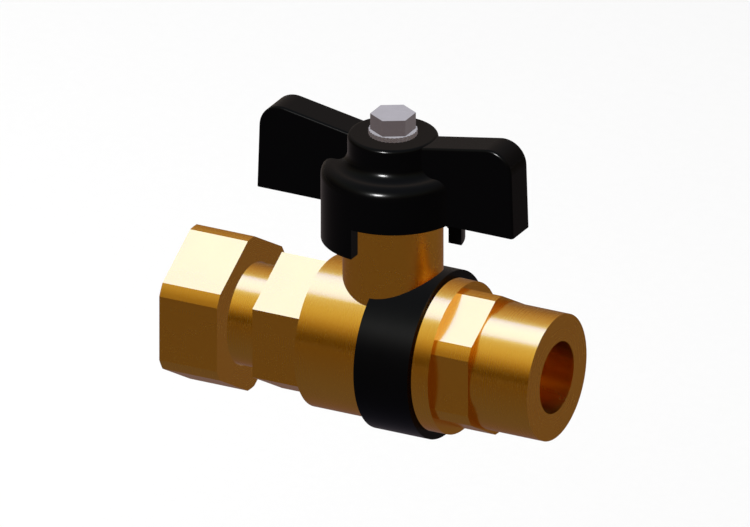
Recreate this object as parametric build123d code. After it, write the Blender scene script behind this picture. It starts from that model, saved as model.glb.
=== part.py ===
from build123d import *
from math import cos, pi, radians, sin, sqrt, tan
import os

# Isolating ball valve, 1/2 inch waterway, with a loose union nut and a male end.
# Millimetres. X runs along the pipe towards the male end, Z up the stem, and
# every place below is counted from the centre of the ball.

# Waterway, ball and seats
bore_diameter = 15.0
ball_wall = 4.5
ball_gap = 0.05
cavity_gap = 0.3
ball_edge = 0.3
seat_wall = 3.5
seat_reach = 4.4
seat_depth = 3.4
seat_bore_play = 0.1

# Body
barrel_wall = 2.35
barrel_end_wall = 3.3
body_hexagon_across = 26.0
body_hexagon_width = 10.9
tail_wall = 3.0
tail_chamfer = 0.4
neck_wall = 3.0
neck_chamfer = 0.6

# Screwed joint between the barrel and the end adapter
joint_thread_step = 1.1
joint_length = 5.5
thread_gap = 0.05
body_ring_section = 1.4
body_ring_play = 0.1

# End adapter
flange_width = 2.9
adapter_hexagon_across = 27.0
adapter_corner_cut = 0.7885
adapter_hexagon_width = 8.0
male_diameter = 26.3
male_length = 13.15

# Stem and its seals
stem_diameter = 9.0
stem_gap = 0.05
stem_flat_depth = 1.0
stem_top_gap = 0.45
tang_width = 4.0
tang_gap = 0.2
slot_gap = 0.05
slot_floor = 1.7
stem_flange_width = 1.7
stem_flange_lift = 0.5
stem_flange_height = 2.4
thrust_washer_thickness = 0.6
stem_bearing = 4.95
stem_ring_section = 1.3
stem_ring_play = 0.1
stem_ring_land = 0.75
packing_width = 2.2
packing_height = 2.0
packing_gap = 0.05
follower_height = 1.0

# Gland nut
gland_thread_step = 0.5
gland_thread_length = 7.5
gland_hexagon_across = 17.0
gland_hexagon_height = 3.8
gland_bore_gap = 0.1
gland_chamfer = 0.5
gland_nose = 1.0

# Stop lug on the neck, which the handle's tabs meet
lug_width = 3.9
lug_reach = 3.7
lug_drop = 3.2
lug_height = 11.8
stop_gap = 0.1

# Handle
skirt_gap = 1.5
skirt_wall = 2.9
rim_gap = 0.4
tab_height = 6.5
ceiling_gap = 1.2
roof_thickness = 1.9
shoulder_width = 5.4
shoulder_flat = 0.4
hub_rise = 6.46
hub_round = 0.8
square_gap = 0.05
wing_thickness = 7.5
wing_length = 14.45
wing_root_drop = 0.11
wing_rise = 10.0
wing_draft = 1.9
wing_corner = 5.0
wing_edge_round = 0.6
wing_wall = 1.8
wing_rib = 1.4

# Bolt and washer
washer_diameter = 10.0
washer_thickness = 1.0
washer_play = 0.2
washer_teeth = 36
washer_tooth_depth = 0.22
bolt_diameter = 4.9
bolt_thread_gap = 0.05
bolt_length = 12.0
bolt_head_across = 8.0
bolt_head_height = 3.45
bolt_point_chamfer = 0.5
tapped_hole_spare = 1.5

# Marking band
band_wall = 1.7
band_margin = 0.85
band_gap = 0.05
band_neck_gap = 0.2

# Union nut with its retaining ring and gasket
nut_across = 30.0
nut_corner_cut = 0.7705
nut_travel = 7.0
nut_length = 13.1
nut_shoulder = 2.2
nut_play = 0.2
nut_thread_bore = 24.12
nut_relief_depth = 0.54
nut_relief_spare = 0.2
nut_mouth_chamfer = 0.8
ring_wire = 1.5
ring_overlap = 0.6
ring_play = 0.1
ring_land = 1.0
ring_split = 3.0
gasket_play = 0.26
gasket_bore_play = 0.5
gasket_thickness = 2.0

# Diameters worked out from the sizes
ball_diameter = bore_diameter + 2 * ball_wall
ball_radius = ball_diameter / 2
cavity_diameter = ball_diameter + 2 * cavity_gap
seat_outer = bore_diameter + 2 * seat_wall
joint_thread_diameter = cavity_diameter + 2 * joint_thread_step
barrel_diameter = joint_thread_diameter + 2 * barrel_wall
band_bore = barrel_diameter + 2 * band_gap
tail_diameter = bore_diameter + 2 * tail_wall
stem_radius = stem_diameter / 2
stem_bore = stem_diameter + 2 * stem_gap
stem_flange_diameter = stem_diameter + 2 * stem_flange_width
stem_square = stem_diameter - 2 * stem_flat_depth
packing_diameter = stem_diameter + 2 * packing_width
packing_inner = stem_diameter + 2 * packing_gap
gland_thread_diameter = packing_diameter + 2 * gland_thread_step
neck_diameter = gland_thread_diameter + 2 * neck_wall
skirt_inner = neck_diameter + 2 * skirt_gap
skirt_diameter = skirt_inner + 2 * skirt_wall
skirt_radius = skirt_diameter / 2
hub_radius = skirt_radius - shoulder_width
shoulder_round = (shoulder_width - shoulder_flat) / 2

# Places along the pipe
seat_start = ball_radius - seat_reach
seat_end = seat_start + seat_depth
barrel_left = -seat_end - barrel_end_wall
barrel_right = seat_start + joint_length
body_hexagon_left = barrel_left - body_hexagon_width
band_right = barrel_right - band_margin
adapter_hexagon_left = barrel_right + flange_width
male_start = adapter_hexagon_left + adapter_hexagon_width
male_end = male_start + male_length
nut_right = body_hexagon_left - nut_travel
nut_left = nut_right - nut_length
shoulder_face = nut_right - nut_shoulder
ring_centre = shoulder_face - ring_play - ring_wire / 2
tail_end = ring_centre - ring_wire / 2 - ring_land
gasket_left = tail_end - gasket_thickness
relief_left = gasket_left - nut_relief_spare

# Heights up the stem
slot_bottom = bore_diameter / 2 + slot_floor
flange_low = ball_radius + stem_flange_lift
flange_top = flange_low + stem_flange_height
thrust_low = flange_top + stem_gap
neck_ledge = thrust_low + thrust_washer_thickness
packing_floor = neck_ledge + stem_bearing
packing_top = packing_floor + 2 * packing_height
follower_top = packing_top + follower_height
neck_top = follower_top + gland_thread_length
gland_top = neck_top + gland_hexagon_height
lower_seal = neck_ledge + stem_ring_land + stem_ring_section / 2
upper_seal = packing_floor - stem_ring_land - stem_ring_section / 2
lug_top = neck_top - lug_drop
lug_low = lug_top - lug_height
skirt_rim = lug_top + rim_gap
tab_low = skirt_rim - tab_height
handle_ceiling = gland_top + ceiling_gap
shoulder_height = handle_ceiling + roof_thickness
hub_top = shoulder_height + hub_rise
wing_root_height = hub_top - wing_root_drop
wing_reach = skirt_radius + wing_length
washer_top = hub_top + washer_thickness
stem_top = hub_top - stem_top_gap
bolt_point = washer_top - bolt_length
base = (Align.CENTER, Align.CENTER, Align.MIN)


# Round bar along the pipe, between two places
def rod(diameter, left, right):
    return Pos(left, 0, 0) * Rot(0, 90, 0) * Cylinder(diameter / 2, right - left, align=base)


# Round bar up the stem axis, between two heights
def post(diameter, low, high):
    return Pos(0, 0, low) * Cylinder(diameter / 2, high - low, align=base)


# Hexagonal bar along the pipe, with its flats to the sides and a corner on top
def pipe_hexagon(across, left, right):
    outline = RegularPolygon(across / 2, 6, major_radius=False, rotation=90)
    return extrude(Plane.YZ.offset(left) * outline, right - left)


# The same bar with its six corners turned down in the lathe
def turned_hexagon(across, corner_cut, left, right):
    corners = 2 * across / sqrt(3)
    return pipe_hexagon(across, left, right) & rod(corners - 2 * corner_cut, left, right)


# Hexagonal bar up the stem axis, with two flats square to the pipe
def upright_hexagon(across, low, high):
    outline = RegularPolygon(across / 2, 6, major_radius=False, rotation=30)
    return extrude(Plane.XY.offset(low) * outline, high - low)


# Block between two opposite corners
def block(low, high):
    size = [high[i] - low[i] for i in range(3)]
    return Pos(*low) * Box(*size, align=(Align.MIN, Align.MIN, Align.MIN))


# Ring of round section about the stem axis
def stem_ring(height):
    middle = stem_radius - stem_ring_section / 2
    return Pos(0, 0, height) * Torus(middle, stem_ring_section / 2)


# Body: tail tube, hexagon, barrel and neck in one forging, bored from the right
def make_valve_body():
    body = rod(tail_diameter, tail_end, body_hexagon_left)
    body = chamfer(body.faces().sort_by(Axis.X)[0].edges(), tail_chamfer)
    body += pipe_hexagon(body_hexagon_across, body_hexagon_left, barrel_left)
    body += rod(barrel_diameter, barrel_left, barrel_right)
    neck = post(neck_diameter, 0, neck_top)
    body += chamfer(neck.faces().sort_by(Axis.Z)[-1].edges(), neck_chamfer)
    body += make_stop_lug()
    ring_seat = joint_thread_diameter + 2 * (body_ring_section + body_ring_play)
    body -= rod(bore_diameter, tail_end, 0)
    body -= rod(seat_outer + 2 * thread_gap, -seat_end, 0)
    body -= rod(cavity_diameter, -seat_start, seat_start)
    body -= rod(joint_thread_diameter + 2 * thread_gap, seat_start, barrel_right)
    body -= rod(ring_seat, barrel_right - body_ring_section - body_ring_play, barrel_right)
    body -= post(stem_flange_diameter + 2 * stem_gap, 0, neck_ledge)
    body -= post(stem_bore, 0, neck_top)
    body -= post(packing_diameter + 2 * packing_gap, packing_floor, neck_top)
    body -= post(gland_thread_diameter + 2 * thread_gap, packing_top, neck_top)
    return body - make_ring_groove()


# Stop lug cast on the back of the neck, with a sloping foot
def make_stop_lug():
    neck_radius = neck_diameter / 2
    outline = Polyline(
        (0, lug_low),
        (neck_radius, lug_low),
        (neck_radius + lug_reach, lug_low + lug_reach),
        (neck_radius + lug_reach, lug_top),
        (0, lug_top),
        close=True,
    )
    return extrude(Plane.YZ * make_face(outline), lug_width / 2, both=True)


# Groove round the tail for the retaining ring
def make_ring_groove():
    half = ring_wire / 2 + ring_play
    depth = ring_wire - ring_overlap
    groove = rod(tail_diameter + ring_wire, ring_centre - half, ring_centre + half)
    return groove - rod(tail_diameter - 2 * depth, ring_centre - half, ring_centre + half)


# End adapter: spigot in the barrel, flange, hexagon with turned corners, male end
def make_end_adapter():
    adapter = rod(joint_thread_diameter, seat_start, barrel_right)
    adapter += rod(barrel_diameter, barrel_right, adapter_hexagon_left)
    adapter += turned_hexagon(
        adapter_hexagon_across, adapter_corner_cut, adapter_hexagon_left, male_start
    )
    adapter += rod(male_diameter, male_start, male_end)
    adapter -= rod(seat_outer + 2 * thread_gap, seat_start, seat_end)
    return adapter - rod(bore_diameter, seat_start, male_end)


# Ball with its waterway and the slot that the stem's tang turns
def make_ball():
    ball = Sphere(ball_radius) - rod(bore_diameter, -ball_radius, ball_radius)
    mouths = ball.edges().filter_by(lambda edge: abs(edge.center().X) > ball_edge)
    ball = chamfer(mouths, ball_edge)
    half = tang_width / 2 + slot_gap
    return ball - block((-half, -ball_radius, slot_bottom), (half, ball_radius, ball_radius))


# Seat ring whose face is ground to the ball
def make_seat():
    inner = bore_diameter / 2 + seat_bore_play
    outer = seat_outer / 2
    section = make_face(
        Polyline((seat_start, inner), (seat_end, inner), (seat_end, outer), (seat_start, outer), close=True)
    )
    return revolve(section - Circle(ball_radius + ball_gap), Axis.X)


# Seal under the adapter's flange
def make_body_ring():
    middle = (joint_thread_diameter + body_ring_section) / 2 + thread_gap
    centre = barrel_right - body_ring_section / 2 - body_ring_play / 2
    return Pos(centre, 0, 0) * Rot(0, 90, 0) * Torus(middle, body_ring_section / 2)


# Stem that can't blow out: tang, flange, shank with two grooves, square and tapped hole
def make_stem():
    stem = post(stem_flange_diameter, flange_low, flange_top)
    stem += post(stem_diameter, flange_low, stem_top)
    half = tang_width / 2
    tang = block((-half, -stem_radius, slot_bottom + tang_gap), (half, stem_radius, flange_low))
    stem += tang & post(stem_flange_diameter, 0, flange_low)
    square = Box(stem_square, stem_square, stem_top - handle_ceiling, align=base)
    stem -= post(stem_diameter, handle_ceiling, stem_top) - Pos(0, 0, handle_ceiling) * square
    for height in (lower_seal, upper_seal):
        low = height - stem_ring_section / 2 - stem_ring_play
        high = height + stem_ring_section / 2 + stem_ring_play
        stem -= flat_ring(stem_flange_diameter, stem_diameter - 2 * stem_ring_section, low, high)
    return stem - post(bolt_diameter + 2 * bolt_thread_gap, bolt_point - tapped_hole_spare, stem_top)


# Flat ring about the stem axis
def flat_ring(outer, inner, low, high):
    return post(outer, low, high) - post(inner, low, high)


# Gland nut: threaded body down to the follower and a hexagon over the neck
def make_gland_nut():
    nut = post(gland_thread_diameter, follower_top, neck_top)
    turned = post(2 * gland_hexagon_across / sqrt(3), neck_top, gland_top)
    turned = chamfer(turned.faces().sort_by(Axis.Z)[-1].edges(), gland_chamfer)
    nut += upright_hexagon(gland_hexagon_across, neck_top, gland_top) & turned
    nut -= flat_ring(gland_hexagon_across, packing_diameter, follower_top, follower_top + gland_nose)
    return nut - post(stem_diameter + 2 * gland_bore_gap, follower_top, gland_top)


# Outline of a wing seen from the front, from one place outwards, made smaller by an inset
def wing_face(first, inset):
    slope = tan(radians(wing_rise))
    draft = tan(radians(wing_draft))
    reach = wing_reach - inset
    root = wing_root_height - inset - slope * hub_radius
    corner_height = (root + slope * (reach + draft * skirt_rim)) / (1 + slope * draft)
    corner_reach = reach - draft * (corner_height - skirt_rim)
    outline = Polyline(
        (first, skirt_rim),
        (reach, skirt_rim),
        (corner_reach, corner_height),
        (first, root + slope * first),
        close=True,
    )
    face = Plane.XZ * make_face(outline)
    corner = face.vertices().sort_by_distance((corner_reach, 0, corner_height))[0]
    return fillet(corner, wing_corner - inset)


# One wing, with its long edges rounded
def make_wing():
    wing = extrude(wing_face(0, 0), wing_thickness / 2, both=True)
    rounded = []
    for edge in wing.edges():
        middle = edge @ 0.5
        on_side = abs(middle.Y) > wing_thickness / 4
        if on_side and middle.Z > skirt_rim + wing_edge_round and middle.X > wing_edge_round:
            rounded.append(edge)
    return fillet(rounded, wing_edge_round)


# Hollow under a wing, parted by a rib
def make_wing_hollow():
    hollow = extrude(wing_face(skirt_radius, wing_wall), wing_thickness / 2 - wing_wall, both=True)
    middle = skirt_radius + wing_length / 2
    rib = block(
        (middle - wing_rib / 2, -wing_thickness, skirt_rim),
        (middle + wing_rib / 2, wing_thickness, hub_top + wing_reach),
    )
    return hollow - rib


# Hub: skirt, shoulder and top as one turned outline
def make_hub():
    outline = Polyline(
        (0, hub_top),
        (hub_radius, hub_top),
        (hub_radius, shoulder_height),
        (skirt_radius, shoulder_height),
        (skirt_radius, tab_low),
        (0, tab_low),
        close=True,
    )
    face = Plane.XZ * make_face(outline)
    top = face.vertices().sort_by_distance((hub_radius, 0, hub_top))[0]
    face = fillet(top, hub_round)
    shoulder = [
        face.vertices().sort_by_distance((hub_radius, 0, shoulder_height))[0],
        face.vertices().sort_by_distance((skirt_radius, 0, shoulder_height))[0],
    ]
    return revolve(fillet(shoulder, shoulder_round), Axis.Z)


# Handle: hub and two wings, cut back between the tabs that meet the stop lug
def make_handle():
    wing = make_wing()
    hollow = make_wing_hollow()
    handle = make_hub()
    for turn in (0, 180):
        handle += Rot(0, 0, turn) * wing
    for turn in (0, 180):
        handle -= Rot(0, 0, turn) * hollow
    handle -= post(skirt_inner, tab_low, handle_ceiling)
    wide = skirt_diameter
    tab_start = lug_width / 2 + stop_gap
    gaps = block((-wide, -wide, tab_low), (wide, wide, skirt_rim))
    gaps -= block((tab_start, tab_start, tab_low), (wide, wide, skirt_rim))
    gaps -= block((-wide, -wide, tab_low), (-tab_start, -tab_start, skirt_rim))
    handle -= gaps
    hole = stem_square + 2 * square_gap
    square = Pos(0, 0, handle_ceiling) * Box(hole, hole, hub_top - handle_ceiling, align=base)
    return handle - (square & post(stem_diameter + 2 * square_gap, handle_ceiling, hub_top))


# Washer with a serrated rim
def make_lock_washer():
    points = []
    for step in range(2 * washer_teeth):
        radius = washer_diameter / 2 - (step % 2) * washer_tooth_depth
        angle = pi * step / washer_teeth
        points.append((radius * cos(angle), radius * sin(angle)))
    rim = make_face(Polyline(*points, close=True))
    washer = extrude(Plane.XY.offset(hub_top) * rim, washer_thickness)
    return washer - post(bolt_diameter + 2 * washer_play, hub_top, washer_top)


# Bolt with a plain hexagon head
def make_handle_bolt():
    shank = post(bolt_diameter, bolt_point, washer_top)
    shank = chamfer(shank.faces().sort_by(Axis.Z)[0].edges(), bolt_point_chamfer)
    return shank + upright_hexagon(bolt_head_across, washer_top, washer_top + bolt_head_height)


# Band round the barrel, with a half-round notch for the neck
def make_marking_band():
    band = rod(barrel_diameter + 2 * band_wall, 0, band_right) - rod(band_bore, 0, band_right)
    return band - post(neck_diameter + 2 * band_neck_gap, 0, barrel_diameter)


# Union nut: shoulder behind the retaining ring, relief for the gasket, free thread
def make_union_nut():
    nut = turned_hexagon(nut_across, nut_corner_cut, nut_left, nut_right)
    nut -= rod(tail_diameter + 2 * nut_play, nut_left, nut_right)
    nut -= rod(nut_thread_bore, nut_left, relief_left)
    nut -= rod(nut_thread_bore + 2 * nut_relief_depth, relief_left, shoulder_face)
    crest = nut_thread_bore / 2
    mouth = Cone(crest + nut_mouth_chamfer, crest, nut_mouth_chamfer, align=base)
    return nut - Pos(nut_left, 0, 0) * Rot(0, 90, 0) * mouth


# Wire ring, split so that it springs into the tail's groove
def make_retaining_ring():
    middle = tail_diameter / 2 + ring_overlap - ring_wire / 2
    ring = Pos(ring_centre, 0, 0) * Rot(0, 90, 0) * Torus(middle, ring_wire / 2)
    split = block(
        (ring_centre - ring_wire, -ring_split / 2, -tail_diameter),
        (ring_centre + ring_wire, ring_split / 2, 0),
    )
    return ring - split


# Flat gasket on the tail's end face
def make_union_gasket():
    gasket = rod(nut_thread_bore - 2 * gasket_play, gasket_left, tail_end)
    return gasket - rod(bore_diameter + 2 * gasket_bore_play, gasket_left, tail_end)


seat = make_seat()
pieces = {
    "valve_body": make_valve_body(),
    "end_adapter": make_end_adapter(),
    "ball": make_ball(),
    "inlet_seat": Rot(0, 0, 180) * seat,
    "outlet_seat": seat,
    "body_o_ring": make_body_ring(),
    "stem": make_stem(),
    "thrust_washer": flat_ring(stem_flange_diameter, packing_inner, thrust_low, neck_ledge),
    "stem_o_ring_lower": stem_ring(lower_seal),
    "stem_o_ring_upper": stem_ring(upper_seal),
    "packing_ring_lower": flat_ring(
        packing_diameter, packing_inner, packing_floor, packing_floor + packing_height
    ),
    "packing_ring_upper": flat_ring(
        packing_diameter, packing_inner, packing_floor + packing_height, packing_top
    ),
    "gland_follower": flat_ring(packing_diameter, packing_inner, packing_top, follower_top),
    "gland_nut": make_gland_nut(),
    "handle": make_handle(),
    "lock_washer": make_lock_washer(),
    "handle_bolt": make_handle_bolt(),
    "marking_band": make_marking_band(),
    "union_nut": make_union_nut(),
    "retaining_ring": make_retaining_ring(),
    "union_gasket": make_union_gasket(),
}

# The part's origin is the centre of the male end's face
os.makedirs("parts", exist_ok=True)
for name, piece in pieces.items():
    export_step(Pos(-male_end, 0, 0) * piece, f"parts/{name}.step")
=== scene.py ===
import math

import bmesh
import bpy
from mathutils import Matrix, Vector


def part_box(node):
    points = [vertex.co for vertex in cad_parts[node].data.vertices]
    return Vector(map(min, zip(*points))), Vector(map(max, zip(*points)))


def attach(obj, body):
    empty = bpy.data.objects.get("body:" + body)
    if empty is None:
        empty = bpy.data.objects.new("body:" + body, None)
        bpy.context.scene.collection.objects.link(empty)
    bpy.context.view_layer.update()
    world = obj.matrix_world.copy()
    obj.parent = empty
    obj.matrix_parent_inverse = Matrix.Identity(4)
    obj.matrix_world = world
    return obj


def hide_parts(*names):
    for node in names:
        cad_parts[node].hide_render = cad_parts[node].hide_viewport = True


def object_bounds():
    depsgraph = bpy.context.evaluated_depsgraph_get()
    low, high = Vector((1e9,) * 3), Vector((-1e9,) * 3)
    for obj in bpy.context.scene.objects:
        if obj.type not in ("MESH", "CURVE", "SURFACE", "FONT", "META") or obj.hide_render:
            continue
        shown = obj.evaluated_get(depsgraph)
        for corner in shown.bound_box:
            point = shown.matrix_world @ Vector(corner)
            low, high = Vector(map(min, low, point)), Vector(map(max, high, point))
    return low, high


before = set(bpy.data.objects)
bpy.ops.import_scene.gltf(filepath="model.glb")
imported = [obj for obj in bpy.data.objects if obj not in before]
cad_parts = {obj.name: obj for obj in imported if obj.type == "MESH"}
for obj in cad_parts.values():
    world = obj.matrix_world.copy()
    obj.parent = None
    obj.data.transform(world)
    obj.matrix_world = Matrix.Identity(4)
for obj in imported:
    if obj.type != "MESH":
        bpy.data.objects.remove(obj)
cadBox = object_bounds()
print("frame loaded:", len(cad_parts), "nodes")

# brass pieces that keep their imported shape
brassNodes = ("valve_body", "end_adapter", "gland_nut", "gland_follower", "stem")


# the ball sits on the pipe's axis, below the bolt
def findBallCentre():
    low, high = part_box("handle_bolt")
    boltCentre = (Vector(low) + Vector(high)) / 2
    return Vector((boltCentre.x, 0.0, 0.0))


ballCentre = findBallCentre()


# a socket that adds, subtracts and multiplies, so that shader maths reads as maths
class Value:
    def __init__(self, nodes, socket):
        self.nodes = nodes
        self.socket = socket

    def maths(self, operation, *values):
        return self.nodes.node("ShaderNodeMath", {"operation": operation}, list(values))

    def __add__(self, other):
        return self.maths("ADD", self, other)

    def __radd__(self, other):
        return self.maths("ADD", other, self)

    def __sub__(self, other):
        return self.maths("SUBTRACT", self, other)

    def __rsub__(self, other):
        return self.maths("SUBTRACT", other, self)

    def __mul__(self, other):
        return self.maths("MULTIPLY", self, other)

    def __rmul__(self, other):
        return self.maths("MULTIPLY", other, self)

    def near(self, size, play):
        return self.maths("COMPARE", self, size, play)

    def clamped(self):
        return self.maths("MINIMUM", self.maths("MAXIMUM", self, 0.0), 1.0)


# one material's or the world's nodes
class Nodes:
    def __init__(self, owner):
        owner.use_nodes = True
        self.tree = owner.node_tree
        self.tree.nodes.clear()

    def node(self, kind, settings=None, sockets=None, output=0):
        made = self.tree.nodes.new(kind)
        for name, value in (settings or {}).items():
            if name == "stops":
                self.setStops(made.color_ramp, value)
            else:
                setattr(made, name, value)
        pairs = enumerate(sockets) if isinstance(sockets, list) else (sockets or {}).items()
        for key, value in pairs:
            if isinstance(value, Value):
                self.tree.links.new(value.socket, made.inputs[key])
            else:
                made.inputs[key].default_value = value
        return Value(self, made.outputs[output]) if made.outputs else None

    def setStops(self, ramp, stops):
        while len(ramp.elements) < len(stops):
            ramp.elements.new(1.0)
        for element, (place, colour) in zip(ramp.elements, stops):
            element.position = place
            element.color = (*colour, 1.0)

    def objectPlace(self):
        return self.node("ShaderNodeTexCoord", output="Object")

    def noise(self, place, scale, detail=3.0, roughness=0.5):
        sockets = {"Vector": place, "Scale": scale, "Detail": detail, "Roughness": roughness}
        return self.node("ShaderNodeTexNoise", {}, sockets, output="Fac")

    def mixColour(self, factor, first, second):
        settings = {"data_type": "RGBA", "blend_type": "MIX"}
        return self.node("ShaderNodeMix", settings, {0: factor, 6: first, 7: second}, output=2)

    def mixValue(self, factor, first, second):
        return first + (second - first) * factor

    def bump(self, height, strength, distance):
        sockets = {"Strength": strength, "Distance": distance, "Height": height}
        return self.node("ShaderNodeBump", {}, sockets)

    def finish(self, sockets):
        shader = self.node("ShaderNodeBsdfPrincipled", {}, sockets)
        self.node("ShaderNodeOutputMaterial", {}, {"Surface": shader})


def newMaterial(name):
    material = bpy.data.materials.new(name)
    return material, Nodes(material)


def paint(material, *nodeNames):
    for name in nodeNames:
        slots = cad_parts[name].data.materials
        slots.clear()
        slots.append(material)


# polished brass under a thin clear lacquer: round faces keep fine turned marks, end faces
# have rings, and the pressed flats are satin
def makeBrass():
    look = {
        "amber": (0.80, 0.378, 0.013, 1.0),
        "deep": (0.74, 0.335, 0.010, 1.0),
        "edgeTint": (1.0, 0.70, 0.40, 1.0),
        "cloudScale": 60.0,
        "roughness": 0.27,
        "cloudPlay": 0.06,
        "grainPlay": 0.04,
        "lacquer": 0.4,
        "lacquerGloss": 0.17,
        "lacquerIor": 1.75,
        "turnedRadii": {
            "tail": 0.01050,
            "maleEnd": 0.01315,
            "adapterCorners": 0.01480,
            "barrel": 0.01575,
            "nutCorners": 0.01655,
        },
        "radiusPlay": 0.00012,
        "endPlay": 0.00005,
        "marksPerMetre": 7000.0,
        "satinScale": 2600.0,
        "satinShare": 0.08,
        "markDepth": 0.0000007,
        "bump": 0.22,
    }
    material, nodes = newMaterial("brass")
    place = nodes.objectPlace()
    along = nodes.node("ShaderNodeSeparateXYZ", {}, {"Vector": place}, output="X")
    across = nodes.node("ShaderNodeVectorMath", {"operation": "MULTIPLY"}, {0: place, 1: (0, 1, 1)})
    radius = nodes.node("ShaderNodeVectorMath", {"operation": "LENGTH"}, {0: across}, output="Value")
    turned = 0.0
    for size in look["turnedRadii"].values():
        turned = radius.near(size, look["radiusPlay"]) + turned
    nutLow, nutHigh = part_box("union_nut")
    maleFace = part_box("end_adapter")[1][0]
    ringed = 0.0
    for end in (nutLow[0], nutHigh[0], maleFace):
        ringed = along.near(end, look["endPlay"]) + ringed
    cut = turned.clamped() * (1 - ringed) + ringed
    step = nodes.mixValue(ringed, along, radius) * look["marksPerMetre"]
    lines = nodes.node("ShaderNodeCombineXYZ", {}, {"X": step})
    marks = nodes.noise(lines, 1.0, detail=2.0)
    cloud = nodes.noise(place, look["cloudScale"], detail=4.0, roughness=0.6)
    satin = nodes.noise(place, look["satinScale"], detail=2.0)
    grain = nodes.mixValue(cut, 0.5 + (satin - 0.5) * look["satinShare"], marks)
    dulling = (cloud - 0.5) * look["cloudPlay"] + (grain - 0.5) * look["grainPlay"]
    nodes.finish({
        "Base Color": nodes.mixColour(cloud, look["amber"], look["deep"]),
        "Metallic": 1.0,
        "Roughness": look["roughness"] + dulling,
        "Specular Tint": look["edgeTint"],
        "Coat Weight": look["lacquer"],
        "Coat Roughness": look["lacquerGloss"],
        "Coat IOR": look["lacquerIor"],
        "Normal": nodes.bump(grain, look["bump"], look["markDepth"]),
    })
    return material


# glossy black moulding with a faint grain
def makeBlackPlastic(name, roughness):
    look = {
        "black": (0.00025, 0.00025, 0.0003, 1.0),
        "specular": 0.05,
        "hazeScale": 90.0,
        "hazePlay": 0.06,
        "grainScale": 1800.0,
        "grainDepth": 0.000003,
        "bump": 0.15,
    }
    material, nodes = newMaterial(name)
    place = nodes.objectPlace()
    grain = nodes.noise(place, look["grainScale"], detail=2.0)
    haze = nodes.noise(place, look["hazeScale"], roughness=0.6)
    nodes.finish({
        "Base Color": look["black"],
        "Roughness": roughness + (haze - 0.5) * look["hazePlay"],
        "Specular IOR Level": look["specular"],
        "Normal": nodes.bump(grain, look["bump"], look["grainDepth"]),
    })
    return material


# zinc-plated steel, slightly blue
def makeZinc(name, roughness):
    look = {
        "pale": (0.693, 0.7035, 0.7455, 1.0),
        "deep": (0.588, 0.5985, 0.63, 1.0),
        "cloudScale": 420.0,
        "grainScale": 5200.0,
        "grainPlay": 0.12,
        "grainDepth": 0.000004,
        "bump": 0.2,
    }
    material, nodes = newMaterial(name)
    place = nodes.objectPlace()
    cloud = nodes.noise(place, look["cloudScale"], detail=4.0, roughness=0.6)
    grain = nodes.noise(place, look["grainScale"], detail=2.0)
    nodes.finish({
        "Base Color": nodes.mixColour(cloud, look["pale"], look["deep"]),
        "Metallic": 1.0,
        "Roughness": roughness + (grain - 0.5) * look["grainPlay"],
        "Normal": nodes.bump(grain, look["bump"], look["grainDepth"]),
    })
    return material


# hard chrome on the ball
def makeChrome():
    look = {
        "silver": (0.78, 0.79, 0.80, 1.0),
        "roughness": 0.07,
        "cloudScale": 150.0,
        "cloudPlay": 0.06,
    }
    material, nodes = newMaterial("chrome")
    cloud = nodes.noise(nodes.objectPlace(), look["cloudScale"])
    nodes.finish({
        "Base Color": look["silver"],
        "Metallic": 1.0,
        "Roughness": look["roughness"] + cloud * look["cloudPlay"],
    })
    return material


# waxy white seals, black rubber rings and the green fibre gasket share one plain recipe
def paintSeals():
    shared = {"grainPlay": 0.1, "bump": 0.3}
    seals = {
        "white_seal": {
            "light": (0.80, 0.80, 0.78, 1.0),
            "dark": (0.70, 0.70, 0.67, 1.0),
            "roughness": 0.42,
            "grainScale": 300.0,
            "grainDepth": 0.00001,
            "pieces": (
                "inlet_seat",
                "outlet_seat",
                "thrust_washer",
                "packing_ring_lower",
                "packing_ring_upper",
            ),
        },
        "black_rubber": {
            "light": (0.02, 0.02, 0.02, 1.0),
            "dark": (0.012, 0.012, 0.012, 1.0),
            "roughness": 0.5,
            "grainScale": 900.0,
            "grainDepth": 0.00001,
            "pieces": ("body_o_ring", "stem_o_ring_lower", "stem_o_ring_upper"),
        },
        "gasket_sheet": {
            "light": (0.09, 0.26, 0.15, 1.0),
            "dark": (0.05, 0.17, 0.10, 1.0),
            "roughness": 0.7,
            "grainScale": 1500.0,
            "grainDepth": 0.00003,
            "pieces": ("union_gasket",),
        },
    }
    for name, look in seals.items():
        material, nodes = newMaterial(name)
        grain = nodes.noise(nodes.objectPlace(), look["grainScale"], detail=4.0, roughness=0.6)
        nodes.finish({
            "Base Color": nodes.mixColour(grain, look["light"], look["dark"]),
            "Roughness": look["roughness"] + (grain - 0.5) * shared["grainPlay"],
            "Normal": nodes.bump(grain, shared["bump"], look["grainDepth"]),
        })
        paint(material, *look["pieces"])


def dressNodes():
    roughness = {"handle": 0.20, "band": 0.26, "bolt": 0.22, "washer": 0.42}
    paint(makeBrass(), "union_nut", *brassNodes)
    paint(makeBlackPlastic("black_handle", roughness["handle"]), "handle")
    paint(makeBlackPlastic("black_band", roughness["band"]), "marking_band")
    paint(makeZinc("zinc_steel", roughness["bolt"]), "handle_bolt", "retaining_ring")
    paint(makeZinc("zinc_washer", roughness["washer"]), "lock_washer")
    paint(makeChrome(), "ball")
    paintSeals()
    print("materials done:", len(bpy.data.materials))


# everything off, so that an operator acts on the new piece alone
def selectOnly(piece=None):
    bpy.ops.object.select_all(action="DESELECT")
    if piece:
        piece.select_set(True)
        bpy.context.view_layer.objects.active = piece


def applyModifier(piece, kind, settings):
    selectOnly(piece)
    modifier = piece.modifiers.new(kind.lower(), kind)
    for name, value in settings.items():
        setattr(modifier, name, value)
    bpy.ops.object.modifier_apply(modifier=modifier.name)


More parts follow.
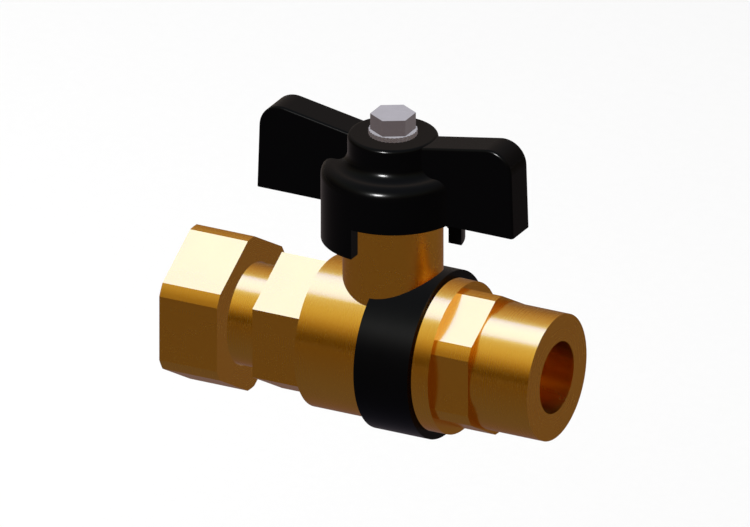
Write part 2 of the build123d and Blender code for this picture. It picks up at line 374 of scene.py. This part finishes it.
# helical tooth, swept along the pipe from just outside the nut's mouth
def makeThreadTool(user, start, end):
    halfFlank = math.tan(math.radians(user["flankAngle"] / 2))
    base = user["crest"] - user["overlap"]
    depth = user["root"] - base
    selectOnly()
    bpy.ops.mesh.primitive_plane_add(
        size=1.0,
        location=(start, 0, base + depth / 2),
        rotation=(math.pi / 2, 0, 0),
    )
    tool = bpy.context.object
    tool.scale = (1.0, depth, 1.0)
    bpy.ops.object.transform_apply(location=True, rotation=True, scale=True)
    bpy.ops.object.mode_set(mode="EDIT")
    widths = {base: user["rootFlat"] + 2 * halfFlank * depth, user["root"]: user["rootFlat"]}
    for height, width in widths.items():
        bpy.ops.mesh.select_all(action="DESELECT")
        mesh = bmesh.from_edit_mesh(tool.data)
        for vertex in mesh.verts:
            vertex.select = abs(vertex.co.z - height) < depth / 4
        bmesh.update_edit_mesh(tool.data)
        bpy.ops.transform.resize(value=(width, 1, 1), center_override=(start, 0, 0))
    bpy.ops.mesh.select_all(action="SELECT")
    bpy.ops.mesh.delete(type="ONLY_FACE")
    bpy.ops.object.mode_set(mode="OBJECT")
    turns = (end - start) / user["pitch"]
    steps = round(user["stepsPerTurn"] * turns)
    applyModifier(tool, "SCREW", {
        "axis": "X",
        "angle": 2 * math.pi * turns,
        "screw_offset": end - start,
        "steps": steps,
        "render_steps": steps,
        "use_merge_vertices": False,
    })
    bpy.ops.object.mode_set(mode="EDIT")
    bpy.ops.mesh.select_all(action="SELECT")
    bpy.ops.mesh.fill_holes(sides=4)
    bpy.ops.mesh.select_all(action="SELECT")
    bpy.ops.mesh.normals_make_consistent(inside=False)
    bpy.ops.object.mode_set(mode="OBJECT")
    return tool


# the union nut with its pipe thread cut into the bore
def makeThreadedNut():
    user = {
        "pitch": 0.001814,
        "crest": 0.01206,
        "root": 0.01315,
        "rootFlat": 0.00025,
        "flankAngle": 55,
        "overlap": 0.0002,
        "stepsPerTurn": 72,
        "gasketPlay": 0.0002,
        "mergeWithin": 0.000001,
        "smoothUnder": 15,
    }
    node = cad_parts["union_nut"]
    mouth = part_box("union_nut")[0][0]
    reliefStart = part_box("union_gasket")[0][0] - user["gasketPlay"]
    tool = makeThreadTool(user, mouth - user["pitch"], reliefStart + user["pitch"] / 4)
    nut = bpy.data.objects.new("threaded_union_nut", node.data.copy())
    bpy.context.scene.collection.objects.link(nut)
    selectOnly(nut)
    bpy.ops.mesh.customdata_custom_splitnormals_clear()
    bpy.ops.object.mode_set(mode="EDIT")
    bpy.ops.mesh.select_all(action="SELECT")
    bpy.ops.mesh.remove_doubles(threshold=user["mergeWithin"])
    bpy.ops.object.mode_set(mode="OBJECT")
    applyModifier(nut, "BOOLEAN", {"operation": "DIFFERENCE", "solver": "EXACT", "object": tool})
    bpy.data.objects.remove(tool)
    selectOnly(nut)
    bpy.ops.object.shade_smooth_by_angle(angle=math.radians(user["smoothUnder"]))
    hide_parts("union_nut")
    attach(nut, "nut")
    print("nut threaded:", len(nut.data.polygons), "faces")
    return nut


# pale floor well below the valve, which its pipe holds; the metal doesn't mirror it
def makeFloor():
    user = {
        "drop": 0.10,
        "size": 12.0,
        "pale": (0.93, 0.93, 0.93, 1.0),
        "fleck": (0.91, 0.91, 0.91, 1.0),
        "fleckScale": 400.0,
        "roughness": 0.9,
        "specular": 0.1,
    }
    selectOnly()
    height = cadBox[0][2] - user["drop"]
    bpy.ops.mesh.primitive_plane_add(size=user["size"], location=(ballCentre.x, 0, height))
    floor = bpy.context.object
    floor.name = "floor"
    material, nodes = newMaterial("floorPaper")
    speckle = nodes.noise(nodes.objectPlace(), user["fleckScale"])
    nodes.finish({
        "Base Color": nodes.mixColour(speckle, user["pale"], user["fleck"]),
        "Roughness": user["roughness"],
        "Specular IOR Level": user["specular"],
    })
    floor.data.materials.append(material)
    floor.visible_glossy = False
    print("floor done")


# nodes that one light or sheet reaches alone
def gather(name, nodeNames):
    group = bpy.data.collections.new(name)
    for nodeName in nodeNames:
        group.objects.link(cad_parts[nodeName])
    return group


# long overhead reflector sheet that the brass alone mirrors; cool, so that amber turns cream in it,
# and clear, so that the other pieces mirror the room beyond it
def makeCard(nut):
    user = {
        "above": 0.81,
        "behind": 0.063,
        "length": 2.2,
        "width": 0.585,
        "tint": (0.041, 0.118, 1.0, 1.0),
        "strength": 15.6,
    }
    selectOnly()
    place = ballCentre + Vector((0.0, user["behind"], user["above"]))
    bpy.ops.mesh.primitive_plane_add(size=1.0, location=place)
    card = bpy.context.object
    card.name = "reflectorCard"
    card.scale = (user["length"], user["width"], 1.0)
    material, nodes = newMaterial("cardGlow")
    glow = nodes.node("ShaderNodeEmission", {}, {"Color": user["tint"], "Strength": user["strength"]})
    clear = nodes.node("ShaderNodeBsdfTransparent")
    sheet = nodes.node("ShaderNodeAddShader", {}, [glow, clear])
    nodes.node("ShaderNodeOutputMaterial", {}, {"Surface": sheet})
    material.cycles.emission_sampling = "NONE"
    card.data.materials.append(material)
    card.visible_camera = False
    card.visible_diffuse = False
    card.visible_shadow = False
    mirrors = gather("mirrors", brassNodes)
    mirrors.objects.link(nut)
    card.light_linking.receiver_collection = mirrors
    print("reflector sheet done")


# soft overhead lamp for the shadows, a key that shines on the black mouldings alone, and a faint
# one from behind for the bolt and its washer
def makeLamps():
    user = {
        "overhead": {
            "towards": (-0.42, 0.10, 0.90),
            "away": 0.9,
            "size": 0.62,
            "radiance": 4.0,
            "tint": (1.0, 1.0, 1.0),
            "alone": (),
        },
        "key": {
            "towards": (0.0, -0.75, 0.66),
            "away": 1.0,
            "size": 0.20,
            "radiance": 500.0,
            "tint": (1.0, 1.0, 1.0),
            "alone": ("handle", "marking_band"),
        },
        "back": {
            "towards": (-0.42, 0.81, 0.41),
            "away": 1.0,
            "size": 0.60,
            "radiance": 0.35,
            "tint": (0.71, 0.80, 1.0),
            "alone": ("handle_bolt", "lock_washer"),
        },
    }
    for name, lamp in user.items():
        towards = Vector(lamp["towards"]).normalized()
        selectOnly()
        bpy.ops.object.light_add(type="AREA", location=ballCentre + towards * lamp["away"])
        light = bpy.context.object
        light.name = name
        light.rotation_euler = towards.to_track_quat("Z", "Y").to_euler()
        light.data.shape = "DISK"
        light.data.size = lamp["size"]
        light.data.color = lamp["tint"]
        light.data.energy = lamp["radiance"] * (math.pi * lamp["size"] / 2) ** 2
        light.visible_glossy = bool(lamp["alone"])
        if lamp["alone"]:
            light.light_linking.receiver_collection = gather(name + "Lit", lamp["alone"])
    print("lamps done")


# the room that the metal mirrors: dark and warm low down in front, paler and plain behind, with a
# pale line at the horizon; matte surfaces get a plain white light from it, and the camera sees a
# plain pale backdrop
def makeRoom():
    horizon = (0.95, 0.95, 0.95)
    user = {
        "matteLight": (0.75, 0.75, 0.75, 1.0),
        "backdrop": (0.90, 0.90, 0.90, 1.0),
        "frontToBack": 2.5,
        "front": [
            (0.000, (0.165, 0.155, 0.22)),
            (0.400, (0.165, 0.125, 0.10)),
            (0.4975, (0.165, 0.11, 0.045)),
            (0.4985, horizon),
            (0.5015, horizon),
            (0.5025, (0.10, 0.06, 0.020)),
            (0.560, (0.06, 0.035, 0.012)),
            (0.640, (0.17, 0.12, 0.06)),
            (0.735, (0.49, 0.40, 0.22)),
            (0.800, (0.74, 0.72, 0.52)),
            (0.860, (0.84, 0.92, 0.75)),
            (1.000, (0.80, 0.86, 1.00)),
        ],
        "back": [
            (0.000, (0.18, 0.16, 0.22)),
            (0.4975, (0.195, 0.155, 0.11)),
            (0.4985, horizon),
            (0.5015, horizon),
            (0.5025, (0.20, 0.17, 0.16)),
            (0.640, (0.33, 0.28, 0.25)),
            (0.720, (0.44, 0.36, 0.32)),
            (0.860, (0.66, 0.63, 0.62)),
            (1.000, (0.80, 0.86, 1.00)),
        ],
    }
    world = bpy.data.worlds.new("studio")
    bpy.context.scene.world = world
    world.cycles.sampling_method = "NONE"
    nodes = Nodes(world)
    way = nodes.node("ShaderNodeTexCoord", output="Generated")
    rise = nodes.node("ShaderNodeSeparateXYZ", {}, {"Vector": way}, output="Z")
    depth = nodes.node("ShaderNodeSeparateXYZ", {}, {"Vector": way}, output="Y")
    height = rise * 0.5 + 0.5
    front = nodes.node("ShaderNodeValToRGB", {"stops": user["front"]}, {"Fac": height})
    back = nodes.node("ShaderNodeValToRGB", {"stops": user["back"]}, {"Fac": height})
    room = nodes.mixColour((depth * user["frontToBack"]).clamped(), front, back)
    matte = nodes.node("ShaderNodeLightPath", output="Is Diffuse Ray")
    seen = nodes.node("ShaderNodeLightPath", output="Is Camera Ray")
    light = nodes.mixColour(matte, room, user["matteLight"])
    colour = nodes.mixColour(seen, light, user["backdrop"])
    background = nodes.node("ShaderNodeBackground", {}, {"Color": colour, "Strength": 1.0})
    nodes.node("ShaderNodeOutputWorld", {}, {"Surface": background})
    print("room done")


# parallel view of the photograph, turned round the ball's centre
def makeCamera():
    user = {
        "turn": 27.32,
        "rise": 23.92,
        "pixelsPerMm": 4.96,
        "imageSize": (750, 527),
        "ballPixel": (393.0, 343.24),
        "away": 1.2,
        "clipEnd": 20.0,
    }
    turn = math.radians(user["turn"])
    rise = math.radians(user["rise"])
    right = Vector((math.cos(turn), math.sin(turn), 0))
    back = Vector((math.sin(turn) * math.cos(rise), -math.cos(turn) * math.cos(rise), math.sin(rise)))
    up = back.cross(right)
    pixel = 0.001 / user["pixelsPerMm"]
    aside = (user["imageSize"][0] / 2 - user["ballPixel"][0]) * pixel
    above = (user["ballPixel"][1] - user["imageSize"][1] / 2) * pixel
    middle = ballCentre + right * aside + up * above
    selectOnly()
    bpy.ops.object.camera_add(location=middle + back * user["away"])
    camera = bpy.context.object
    camera.rotation_euler = Matrix((right, up, back)).transposed().to_euler()
    camera.data.type = "ORTHO"
    camera.data.ortho_scale = user["imageSize"][0] * pixel
    camera.data.clip_end = user["clipEnd"]
    bpy.context.scene.camera = camera
    print("camera done")


# the metal mirrors the room, and of the valve only the end adapter, whose bore is then dark
def clearMirrors(nut):
    nut.visible_glossy = False
    for name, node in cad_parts.items():
        node.visible_glossy = name == "end_adapter"


dressNodes()
threadedNut = makeThreadedNut()
makeFloor()
makeCard(threadedNut)
makeLamps()
makeRoom()
makeCamera()
clearMirrors(threadedNut)
bpy.context.scene.view_settings.view_transform = "Standard"
